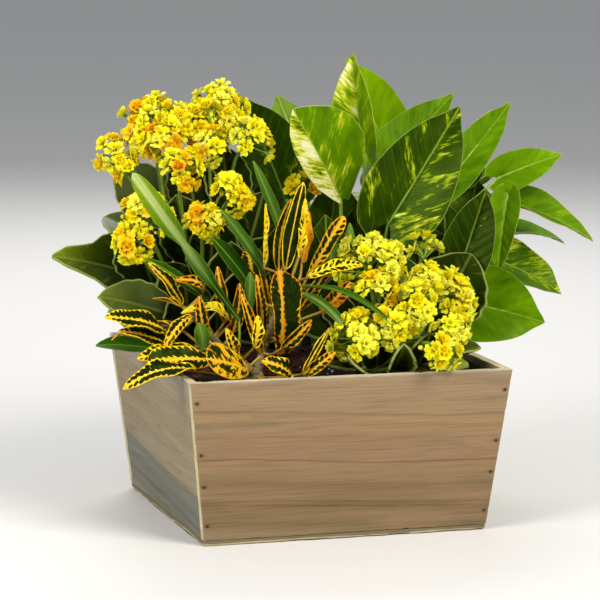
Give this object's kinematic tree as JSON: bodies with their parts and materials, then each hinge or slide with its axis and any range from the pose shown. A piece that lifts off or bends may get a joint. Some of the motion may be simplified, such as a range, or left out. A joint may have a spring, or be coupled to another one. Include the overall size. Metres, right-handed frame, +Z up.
{
  "type": "planted wooden flower box",
  "caption": "Flared square wooden flower box on a thin base board, with a plastic liner, planted with yellow kalanchoe, variegated croton and golden pothos.",
  "frame": {"origin": "centre of the underside of the base board", "axes": "+Z up; +X to the right along the front board; +Y from the front board to the back board"},
  "size_m": [0.3826, 0.2868, 0.3031],
  "materials": {
    "weathered_wood": "matte",
    "liner_plastic": "satin",
    "potting_mix": "matte",
    "root_fibre": "matte",
    "pothos_leaf": "satin",
    "kalanchoe_leaf": "satin",
    "kalanchoe_petal": "matte",
    "croton_leaf": "satin",
    "croton_bark": "matte",
    "strap_leaf": "satin",
    "nail_steel": "matte"
  },
  "bodies": {
    "root": {"front_board": "weathered_wood", "right_board": "weathered_wood", "back_board": "weathered_wood", "left_board": "weathered_wood", "base_board": "weathered_wood", "liner": "liner_plastic", "root_ball_croton": "root_fibre", "root_ball_kalanchoe_front": "root_fibre", "root_ball_kalanchoe_back": "root_fibre", "root_ball_pothos": "root_fibre", "potting_mix": "potting_mix", "pothos_leaf_01": "pothos_leaf", "pothos_leaf_02": "pothos_leaf", "pothos_leaf_03": "pothos_leaf", "pothos_leaf_04": "pothos_leaf", "pothos_leaf_05": "pothos_leaf", "pothos_leaf_06": "pothos_leaf", "pothos_leaf_07": "pothos_leaf", "pothos_leaf_08": "pothos_leaf", "pothos_leaf_09": "pothos_leaf", "pothos_leaf_10": "pothos_leaf", "pothos_leaf_11": "pothos_leaf", "pothos_leaf_12": "pothos_leaf", "pothos_leaf_13": "pothos_leaf", "pothos_leaf_14": "pothos_leaf", "pothos_leaf_15": "pothos_leaf", "kalanchoe_back_stem": "kalanchoe_leaf", "kalanchoe_back_leaf_01": "kalanchoe_leaf", "kalanchoe_back_leaf_02": "kalanchoe_leaf", "kalanchoe_back_leaf_03": "kalanchoe_leaf", "kalanchoe_back_leaf_04": "kalanchoe_leaf", "kalanchoe_back_flower_head_01": "kalanchoe_petal", "kalanchoe_back_flower_head_02": "kalanchoe_petal", "kalanchoe_back_flower_head_03": "kalanchoe_petal", "kalanchoe_back_flower_head_04": "kalanchoe_petal", "kalanchoe_back_flower_head_05": "kalanchoe_petal", "kalanchoe_back_flower_head_06": "kalanchoe_petal", "kalanchoe_front_stem": "kalanchoe_leaf", "kalanchoe_front_leaf_01": "kalanchoe_leaf", "kalanchoe_front_leaf_02": "kalanchoe_leaf", "kalanchoe_front_leaf_03": "kalanchoe_leaf", "kalanchoe_front_flower_head_01": "kalanchoe_petal", "kalanchoe_front_flower_head_02": "kalanchoe_petal", "kalanchoe_front_flower_head_03": "kalanchoe_petal", "kalanchoe_front_flower_head_04": "kalanchoe_petal", "kalanchoe_front_flower_head_05": "kalanchoe_petal", "croton_stems": "croton_bark", "croton_leaf_01": "croton_leaf", "croton_leaf_02": "croton_leaf", "croton_leaf_03": "croton_leaf", "croton_leaf_04": "croton_leaf", "croton_leaf_05": "croton_leaf", "croton_leaf_06": "croton_leaf", "croton_leaf_07": "croton_leaf", "croton_leaf_08": "croton_leaf", "croton_leaf_09": "croton_leaf", "croton_leaf_10": "croton_leaf", "strap_leaf_01": "strap_leaf", "strap_leaf_02": "strap_leaf", "strap_leaf_03": "strap_leaf"}
  },
  "joints": []
}
